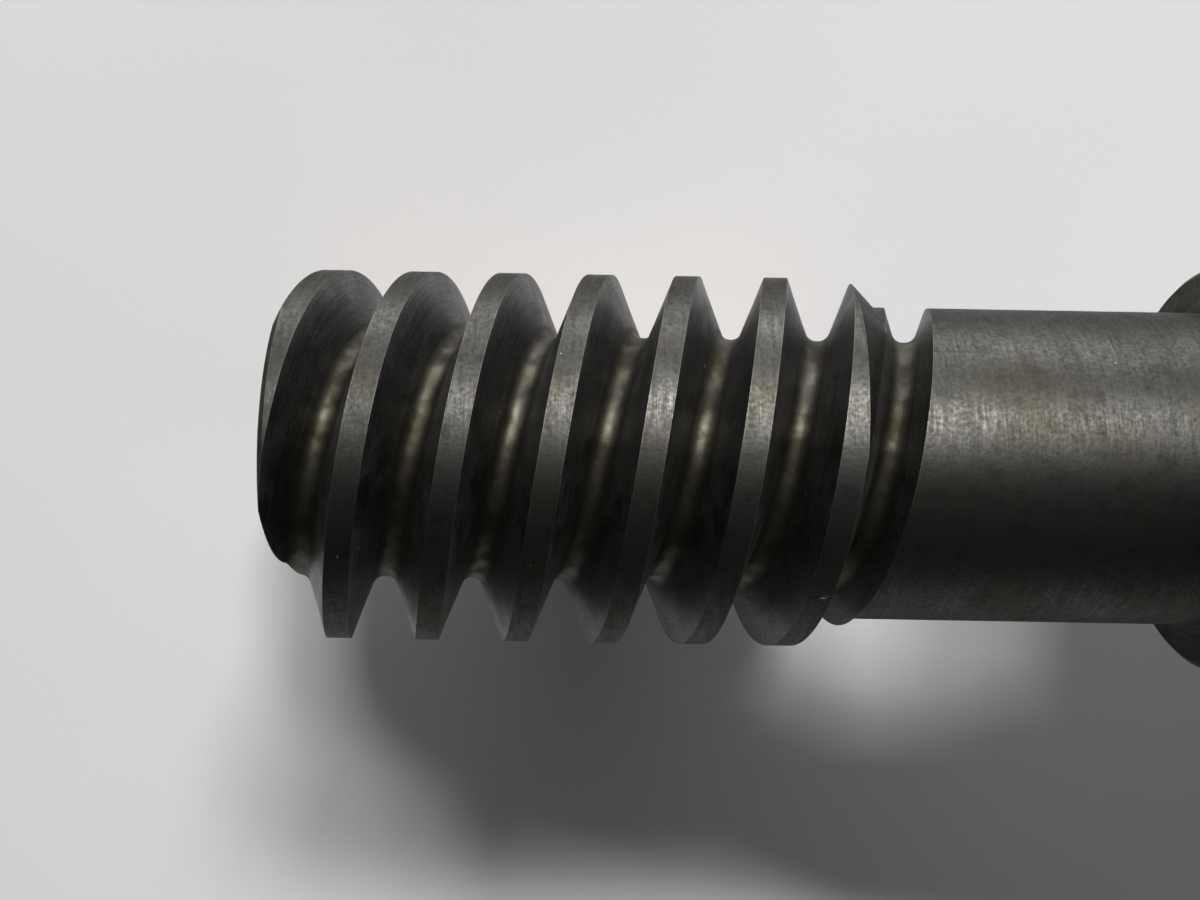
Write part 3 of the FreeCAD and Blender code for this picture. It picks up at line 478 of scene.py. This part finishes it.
def spring_washer_steel():
    """Stamped spring steel, zinc plated with a faint warm sheen."""
    recipe = Recipe("spring_washer_steel")
    turned = recipe.turned("X")
    sheen = recipe.noise(turned.place, 0.5, 3.0)
    grain = recipe.noise(turned.place, 7.0, 4.0)
    edges = recipe.worn_edges(0.12)
    colour = recipe.mix(recipe.remap(sheen, 0.35, 0.65), (0.42, 0.41, 0.36, 1), (0.40, 0.43, 0.47, 1))
    colour = recipe.mix(recipe.remap(grain, 0.5, 0.8, 0.0, 0.4), colour, grey(0.22, 0.05))
    colour = recipe.mix(recipe.math("MULTIPLY", edges, 0.5), colour, grey(0.62))
    roughness = recipe.remap(grain, 0.3, 0.7, 0.26, 0.44)
    return recipe.finish(colour, roughness, recipe.bump(grain, 0.008))


def black_oxide_steel(name, axis, mark_width):
    """Blackened steel whose edges have rubbed bright."""
    recipe = Recipe(name)
    turned = recipe.turned(axis)
    marks = recipe.ring_marks(turned, mark_width, 4.0)
    rubbing = recipe.noise(turned.place, 1.6, 6.0)
    grain = recipe.noise(turned.place, 11.0, 3.0)
    black = recipe.mix(recipe.remap(rubbing, 0.35, 0.7), grey(0.018, -0.03), grey(0.045, 0.05))
    edges = recipe.worn_edges(0.14)
    bare = recipe.math("MULTIPLY", edges, recipe.remap(rubbing, 0.40, 0.60, 0.1, 0.9))
    colour = recipe.mix(bare, black, grey(0.36))
    metallic = recipe.remap(bare, 0.0, 1.0, 0.75, 1.0)
    roughness = recipe.remap(grain, 0.3, 0.7, 0.34, 0.50)
    relief = recipe.bump(marks, 0.006)
    relief = recipe.bump(grain, 0.004, relief)
    return recipe.finish(colour, roughness, relief, metallic)


def hobbed_bronze():
    """Tin bronze: lathe rings on the sides, hob marks on the generated flanks, brown stains in between.
    """
    recipe = Recipe("hobbed_bronze")
    turned = recipe.turned("Y")
    rings = recipe.ring_marks(turned, 0.14, 6.0)
    around = recipe.math("MULTIPLY", turned.angle, turned.radius)
    feed = recipe.vector(
        recipe.math("DIVIDE", around, 0.9),
        recipe.math("DIVIDE", turned.along, 4.0),
        recipe.math("DIVIDE", turned.radius, 0.16))
    hob_marks = recipe.noise(feed, 1.0, 2.0)
    stains = recipe.noise(turned.place, 0.28, 6.0)
    grain = recipe.noise(turned.place, 8.0, 4.0)
    facing = recipe.add("SeparateXYZ", {0: recipe.add("NewGeometry", {}, output="Normal")})
    side_face = recipe.remap(recipe.math("ABSOLUTE", facing.node.outputs[1]), 0.90, 0.97)
    marks = recipe.add("Mix", {0: side_face, 2: hob_marks, 3: rings})
    bright = (0.56, 0.33, 0.125, 1)
    deep = (0.40, 0.215, 0.075, 1)
    brown = (0.17, 0.085, 0.035, 1)
    colour = recipe.mix(recipe.remap(marks, 0.36, 0.64), deep, bright)
    colour = recipe.mix(recipe.remap(stains, 0.50, 0.74, 0.0, 0.55), colour, brown)
    colour = recipe.mix(recipe.remap(grain, 0.62, 0.78, 0.0, 0.5), colour, brown)
    edges = recipe.worn_edges(0.12)
    colour = recipe.mix(recipe.math("MULTIPLY", edges, 0.5), colour, (0.76, 0.50, 0.24, 1))
    roughness = recipe.math("MULTIPLY_ADD", stains, 0.25, recipe.remap(marks, 0.35, 0.65, 0.20, 0.30))
    relief = recipe.bump(marks, 0.008)
    relief = recipe.bump(grain, 0.004, relief)
    return recipe.finish(colour, roughness, relief)


def paper():
    """Plain pale paper with a faint tooth."""
    recipe = Recipe("paper")
    turned = recipe.turned("Y")
    fibres = recipe.noise(turned.place, 1.2, 6.0)
    waves = recipe.noise(turned.place, 0.012, 2.0)
    colour = recipe.mix(recipe.remap(waves, 0.35, 0.65), (0.74, 0.745, 0.76, 1), (0.79, 0.79, 0.80, 1))
    return recipe.finish(colour, 0.9, recipe.bump(fibres, 0.012), 0.0)


def dress_cad_nodes():
    """Gives every CAD node the material of its slot in the record."""
    ground = machined_metal(
        "ground_bearing_steel", "X", grey(0.40, -0.01), grey(0.52, -0.02), 0.05, 0.002, 0.22)
    finishes = {
        "worm_steel": worm_turned_steel(),
        "bearing_steel": ground,
        "ball_steel": polished_ball_steel(),
        "cage_steel": pressed_cage_steel(),
        "spacer_steel": machined_metal(
            "turned_spacer_steel", "X", grey(0.26, 0.02), grey(0.38), 0.12, 0.008, 0.28),
        "washer_steel": spring_washer_steel(),
        "nut_steel": black_oxide_steel("black_nut_steel", "X", 0.10),
        "rim_bronze": hobbed_bronze(),
        "hub_steel": machined_metal(
            "turned_hub_steel", "Y", grey(0.22, 0.03), grey(0.34, 0.01), 0.12, 0.008, 0.30),
        "screw_steel": black_oxide_steel("black_screw_steel", "Y", 0.05),
    }
    for subpart in frame["record"]["subparts"]:
        for slot in frame["nodes"][subpart["node"]].material_slots:
            slot.material = finishes[subpart["material_slot"]]
    return finishes


# ---------------------------------------------------------------- the worm shaft
def groove_half_width(radius):
    """Half the width of a worm groove, along X, at a radius."""
    return 0.25 * AXIAL_PITCH + (radius - PITCH_RADIUS) * math.tan(PRESSURE_ANGLE)


def groove_profile():
    """(x, radius) points across a groove: flank, rounded root, flank."""
    lip_radius = TIP_RADIUS + 0.8 * MODULE
    arc_x = groove_half_width(ROOT_RADIUS)
    arc_x -= ROOT_FILLET * math.tan(0.25 * math.pi - 0.5 * PRESSURE_ANGLE)
    arc_radius = ROOT_RADIUS + ROOT_FILLET
    tangent_radius = arc_radius - ROOT_FILLET * math.sin(PRESSURE_ANGLE)
    half = [(groove_half_width(lip_radius), lip_radius)]
    half += [(groove_half_width(r), r) for r in between(lip_radius, tangent_radius, 12)]
    half += arc_points(arc_x, arc_radius, ROOT_FILLET, -math.degrees(PRESSURE_ANGLE), -90, 9)
    mirrored = [(-x, radius) for x, radius in half]
    return mirrored + half[::-1]


def sweep(name, profile, stations):
    """Closed solid from one profile placed at stations of (angle, x, lift) about the worm's axis."""
    vertices = []
    for angle, station_x, lift in stations:
        for x, radius in profile:
            y = (radius + lift) * math.cos(angle)
            z = WORM_AXIS_Z + (radius + lift) * math.sin(angle)
            vertices.append((station_x + x, y, z))
    faces = ring_faces(len(stations), len(profile))
    faces.append(tuple(range(len(profile))))
    faces.append(tuple(range(len(vertices) - len(profile), len(vertices))))
    return new_object(name, vertices, faces)


def groove_cutter(exit_angle, full_depth_angle, run_out_angle):
    """Tool for one start, which lifts out of the neck past the tooth tips. Angles in degrees."""
    entry_x = WORM_START - groove_half_width(TIP_RADIUS) - 2 * CUTTER_MARGIN
    last_angle = full_depth_angle - run_out_angle
    first_angle = exit_angle + 360 * (GROOVE_EXIT - entry_x) / LEAD
    steps = math.ceil((first_angle - last_angle) / GROOVE_STEP_DEGREES)
    lift_height = 2.0 * MODULE
    stations = []
    for step in range(steps + 1):
        angle = first_angle + (last_angle - first_angle) * step / steps
        run_out = max(0.0, (full_depth_angle - angle) / run_out_angle)
        x = GROOVE_EXIT - LEAD * (angle - exit_angle) / 360
        stations.append((math.radians(angle), x, lift_height * run_out ** 2))
    return sweep("groove_cutter", groove_profile(), stations)


def shaft_thread_cutter():
    """Vee tool for the M17 x 1 thread that stands out past the lock nut."""
    half_mouth = 0.44 * THREAD_PITCH
    half_root = 0.06 * THREAD_PITCH
    over = 0.4 * MM
    wide = half_mouth + over * (half_mouth - half_root) / THREAD_DEPTH
    profile = [
        (-wide, THREAD_RADIUS + over),
        (-half_root, THREAD_RADIUS - THREAD_DEPTH),
        (half_root, THREAD_RADIUS - THREAD_DEPTH),
        (wide, THREAD_RADIUS + over),
    ]
    start_x = NUT_END - 0.4 * THREAD_PITCH
    turns = (THREAD_END + THREAD_PITCH - start_x) / THREAD_PITCH
    steps = int(turns * THREAD_STEPS_PER_TURN)
    stations = []
    for step in range(steps + 1):
        angle = 2 * math.pi * turns * step / steps
        stations.append((angle, start_x + THREAD_PITCH * angle / (2 * math.pi), 0.0))
    return sweep("thread_cutter", profile, stations)


def shaft_outline():
    """(x, radius) outline of the turned shaft, before anything is cut into it."""
    outline = [
        (WORM_START, 0.0),
        (WORM_START, TIP_RADIUS - EDGE_CHAMFER),
        (WORM_START + EDGE_CHAMFER, TIP_RADIUS),
    ]
    tips_end = WORM_END - END_CONE_OFFSET
    outline += [(x, TIP_RADIUS) for x in between(WORM_START + EDGE_CHAMFER, tips_end, 24)]
    neck_end = COLLAR_START - NECK_FILLET
    outline += [(WORM_END, TIP_RADIUS), (END_CONE_END, NECK_RADIUS)]
    outline += [(x, NECK_RADIUS) for x in between(END_CONE_END + END_CONE_OFFSET, neck_end, 16)]
    outline += arc_points(neck_end, NECK_RADIUS + NECK_FILLET, NECK_FILLET, -90, 0, 5)
    outline += [
        (COLLAR_START, COLLAR_RADIUS - EDGE_CHAMFER),
        (COLLAR_START + EDGE_CHAMFER, COLLAR_RADIUS),
        (COLLAR_END - EDGE_CHAMFER, COLLAR_RADIUS),
        (COLLAR_END, COLLAR_RADIUS - EDGE_CHAMFER),
        (COLLAR_END, NECK_RADIUS),
        (SPACER_START, NECK_RADIUS),
        (SPACER_START + EDGE_CHAMFER, RELIEF_RADIUS),
        (SPACER_END - EDGE_CHAMFER, RELIEF_RADIUS),
        (SPACER_END, NECK_RADIUS),
        (NUT_START, NECK_RADIUS),
        (NUT_START, THREAD_PITCH_RADIUS),
        (NUT_END, THREAD_PITCH_RADIUS),
        (NUT_END, THREAD_RADIUS),
        (THREAD_END - THREAD_DEPTH, THREAD_RADIUS),
        (THREAD_END, THREAD_RADIUS - THREAD_DEPTH),
        (THREAD_END, UNDERCUT_RADIUS),
        (DRIVE_START, UNDERCUT_RADIUS),
        (DRIVE_START, DRIVE_RADIUS),
        (DRIVE_END - DRIVE_CHAMFER, DRIVE_RADIUS),
        (DRIVE_END, DRIVE_RADIUS - DRIVE_CHAMFER),
        (DRIVE_END, 0.0),
    ]
    return outline


def above_worm_axis(x, y, height):
    """Point at a height above the worm's axis."""
    return (x, y, WORM_AXIS_Z + height)


def keyway_cutter():
    """Round-ended keyway in the +Y side of the drive end."""
    half = 0.5 * KEYWAY_WIDTH
    start = DRIVE_START + KEYWAY_MARGIN + half
    end = start + KEYWAY_LENGTH - KEYWAY_WIDTH
    outline = arc_points(start, 0, half, 90, 270, 24) + arc_points(end, 0, half, -90, 90, 24)
    floor_y = DRIVE_RADIUS - KEYWAY_DEPTH

    def beside_worm_axis(x, height, y):
        return above_worm_axis(x, y, height)

    open_y = DRIVE_RADIUS + CUTTER_MARGIN
    return prism("keyway_cutter", outline, floor_y, open_y, beside_worm_axis)


def tab_slot_cutter():
    """Slot along the nut thread for the tab washer's inner tab."""
    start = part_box("tab_washer")[0].x - CUTTER_MARGIN
    half = 0.5 * TAB_SLOT_WIDTH
    outline = [(start, -half), (DRIVE_START, -half), (DRIVE_START, half), (start, half)]
    floor_height = THREAD_RADIUS - TAB_SLOT_DEPTH
    open_height = THREAD_RADIUS + CUTTER_MARGIN
    return prism("tab_slot_cutter", outline, floor_height, open_height, above_worm_axis)


def drive_centre_cutter():
    """Tapped centre hole in the drive end, with its countersink and drill tip."""
    drill_end = DRIVE_END - DRIVE_CENTRE_DEPTH
    tip = drill_end - DRIVE_CENTRE_RADIUS / math.sqrt(3)
    outline = [
        (DRIVE_END + CUTTER_MARGIN, 0.0),
        (DRIVE_END + CUTTER_MARGIN, DRIVE_CENTRE_MOUTH_RADIUS),
        (DRIVE_END, DRIVE_CENTRE_MOUTH_RADIUS),
        (DRIVE_END - DRIVE_CENTRE_MOUTH_DEPTH, DRIVE_CENTRE_RADIUS),
        (drill_end, DRIVE_CENTRE_RADIUS),
        (tip, 0.0),
    ]
    return lathe("drive_centre_cutter", outline, HOLE_STEPS)


def worm_centre_cutter():
    """Turning centre in the worm's free end, with a mouth of 60 degrees."""
    cone_depth = (WORM_CENTRE_MOUTH_RADIUS - WORM_CENTRE_RADIUS) * math.sqrt(3)
    drill_end = WORM_START + cone_depth + WORM_CENTRE_DRILL_LENGTH
    outline = [
        (WORM_START - CUTTER_MARGIN, 0.0),
        (WORM_START - CUTTER_MARGIN, WORM_CENTRE_MOUTH_RADIUS),
        (WORM_START, WORM_CENTRE_MOUTH_RADIUS),
        (WORM_START + cone_depth, WORM_CENTRE_RADIUS),
        (drill_end, WORM_CENTRE_RADIUS),
        (drill_end, 0.0),
    ]
    return lathe("worm_centre_cutter", outline, HOLE_STEPS)


def nick_cutter(x, degrees, size):
    """One small blunt tool that dents the edge of a crest."""
    turn = math.radians(degrees)
    reach = TIP_RADIUS + NICK_STAND_OFF * size
    centre = Vector((x, reach * math.cos(turn), WORM_AXIS_Z + reach * math.sin(turn)))
    stretch = Matrix.Diagonal((*NICK_SHAPE, 1))
    place = Matrix.Translation(centre) @ Matrix.Rotation(turn, 4, "X") @ stretch
    build = bmesh.new()
    bmesh.ops.create_icosphere(build, subdivisions=1, radius=size)
    bmesh.ops.transform(build, matrix=place, verts=build.verts)
    mesh = bpy.data.meshes.new("nick_cutter")
    build.to_mesh(mesh)
    build.free()
    cutter = bpy.data.objects.new("nick_cutter", mesh)
    bpy.context.scene.collection.objects.link(cutter)
    return cutter


def lean_end_cone(shaft):
    """Shifts the cone at the end of the teeth, which was turned a little off the axis."""
    rounding = 1e-6
    for vertex in shaft.data.vertices:
        along, across, height = vertex.co
        if WORM_END - rounding < along < END_CONE_END + rounding:
            turn = math.atan2(height - WORM_AXIS_Z, across)
            vertex.co.x += END_CONE_OFFSET * math.cos(turn)


def build_worm_shaft(turned_steel):
    """The worm and its shaft, in finer mesh than the CAD's and with its real thread."""
    shaft = lathe("worm_shaft_fine", shaft_outline(), SHAFT_STEPS)
    lean_end_cone(shaft)
    shaft.data.materials.append(turned_steel)
    groove_steel = worm_groove_steel()
    grooves = [groove_cutter(*angles) for angles in GROOVE_ANGLES]
    for groove in grooves:
        groove.data.materials.append(groove_steel)
    others = [
        shaft_thread_cutter(),
        keyway_cutter(),
        tab_slot_cutter(),
        drive_centre_cutter(),
        worm_centre_cutter(),
    ]
    others += [nick_cutter(*nick) for nick in NICKS]
    for cutter in others:
        cutter.data.materials.append(turned_steel)
    cut_away(shaft, grooves + others)
    smooth_by_angle(shaft, SHAFT_CREASE_DEGREES)
    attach(shaft, "worm")
    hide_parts("worm_shaft")


# ---------------------------------------------------------------- the rim screws
def screw_mesh():
    """One socket head screw along +Y at the origin, with a knurled head."""
    steps = KNURL_TEETH * STEPS_PER_KNURL
    knurl_low = SCREW_SEAT + SCREW_HEAD_CHAMFER
    knurl_high = SCREW_TOP - SCREW_HEAD_CHAMFER - KNURL_FADE
    knurl_root = SCREW_HEAD_RADIUS - KNURL_DEPTH
    tip_radius = SCREW_SHANK_RADIUS - SCREW_HEAD_CHAMFER
    outline = [
        (SCREW_BOTTOM, 0.0, False),
        (SCREW_BOTTOM, tip_radius, False),
        (SCREW_BOTTOM + SCREW_HEAD_CHAMFER, SCREW_SHANK_RADIUS, False),
        (SCREW_SEAT, SCREW_SHANK_RADIUS, False),
        (SCREW_SEAT, knurl_root - SCREW_SEAT_CHAMFER, False),
        (knurl_low - KNURL_FADE, knurl_root, False),
        (knurl_low, SCREW_HEAD_RADIUS, True),
        (knurl_high, SCREW_HEAD_RADIUS, True),
        (knurl_high + KNURL_FADE, knurl_root, False),
        (SCREW_TOP, knurl_root - SCREW_HEAD_CHAMFER, False),
        (SCREW_TOP, 0.0, False),
    ]
    vertices = []
    for y, radius, knurled in outline:
        for step in range(steps):
            turn = 2 * math.pi * step / steps
            dip = 0.5 * KNURL_DEPTH * (1 - math.cos(KNURL_TEETH * turn)) if knurled else 0.0
            reach = radius - dip
            vertices.append((reach * math.cos(turn), y, reach * math.sin(turn)))
    screw = new_object("screw", vertices, ring_faces(len(outline), steps))

    def along_y(u, v, height):
        return (u, height, v)

    corner = SCREW_SOCKET_ACROSS_FLATS / math.sqrt(3)
    hexagon = arc_points(0, 0, corner, 0, 300, 5)       # six corners, 60 degrees apart
    socket_floor = SCREW_TOP - SCREW_SOCKET_DEPTH
    socket = prism("socket", hexagon, socket_floor, SCREW_TOP + CUTTER_MARGIN, along_y)
    cut_away(screw, [socket])
    mesh = screw.data
    bpy.data.objects.remove(screw)
    return mesh


def build_rim_screws(black_steel):
    """Six socket head screws that hold the bronze rim to the hub's flange."""
    one = screw_mesh()
    out = Matrix.Translation((0, 0, SCREW_CIRCLE_RADIUS))
    build = bmesh.new()
    for index in range(SCREW_COUNT):
        turn = Matrix.Rotation(2 * math.pi * index / SCREW_COUNT, 4, "Y")
        own_turn = Matrix.Rotation(SCREW_EXTRA_TURN * index, 4, "Y")
        copy = one.copy()
        copy.transform(turn @ out @ own_turn)
        build.from_mesh(copy)
        bpy.data.meshes.remove(copy)
    mesh = bpy.data.meshes.new("rim_screws_fine")
    build.to_mesh(mesh)
    build.free()
    screws = bpy.data.objects.new("rim_screws_fine", mesh)
    bpy.context.scene.collection.objects.link(screws)
    screws.data.materials.append(black_steel)
    smooth_by_angle(screws, SCREW_CREASE_DEGREES)
    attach(screws, "wheel")
    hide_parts("rim_screws")


# ---------------------------------------------------------------- stage
def add_area_light(name, place, size, power, colour):
    """Soft rectangular light aimed at the worm, and itself out of the camera's sight."""
    light = bpy.data.lights.new(name, "AREA")
    light.shape = "RECTANGLE"
    light.size = size[0]
    light.size_y = size[1]
    light.energy = power
    light.color = colour
    obj = bpy.data.objects.new(name, light)
    bpy.context.scene.collection.objects.link(obj)
    obj.location = place
    aim = Vector((0, 0, WORM_AXIS_Z)) - Vector(place)
    obj.rotation_euler = aim.to_track_quat("-Z", "Y").to_euler()
    obj.visible_camera = False


def build_floor():
    """Pale paper under the wheel."""
    low = CAD_BOX[0][2]
    half = FLOOR_HALF_SIDE
    corners = [(-half, -half, low), (half, -half, low), (half, half, low), (-half, half, low)]
    floor = new_object("floor", corners, [(0, 1, 2, 3)])
    floor.data.materials.append(paper())


def build_camera():
    """Camera straight above the worm, as close as the picture's perspective asks."""
    data = bpy.data.cameras.new("camera")
    data.sensor_width = SENSOR_WIDTH
    data.lens = FOCAL_LENGTH
    data.clip_start = NEAREST_SEEN
    data.clip_end = FARTHEST_SEEN
    camera = bpy.data.objects.new("camera", data)
    bpy.context.scene.collection.objects.link(camera)
    camera.location = (CAMERA_X, CAMERA_Y, WORM_AXIS_Z + CAMERA_HEIGHT)
    camera.rotation_euler = (0, 0, CAMERA_ROLL)
    bpy.context.scene.camera = camera
    bpy.context.scene.view_settings.view_transform = "Standard"


def build_lights():
    """Two windows high on the +Y side, a strip at the horizon below them, and a weak fill at +X."""
    warm = (1.0, 0.99, 0.97)
    cool = (0.97, 0.98, 1.0)
    room = (0.03, 0.03, 0.033, 1)
    add_area_light("right_window", (0.27, 0.62, 1.05), (0.25, 0.15), 9.1, warm)
    add_area_light("left_window", (0.0, 0.68, 1.04), (0.25, 0.15), 5.1, warm)
    add_area_light("horizon_strip", (0.0, 1.05, 0.07), (1.50, 0.28), 11.0, cool)
    add_area_light("right_fill", (1.20, -0.50, 0.55), (0.60, 0.40), 1.6, cool)
    world = bpy.data.worlds.new("room")
    bpy.context.scene.world = world
    world.use_nodes = True
    world.node_tree.nodes["Background"].inputs["Color"].default_value = room


materials = dress_cad_nodes()
build_worm_shaft(materials["worm_steel"])
build_rim_screws(materials["screw_steel"])
build_floor()
build_camera()
build_lights()
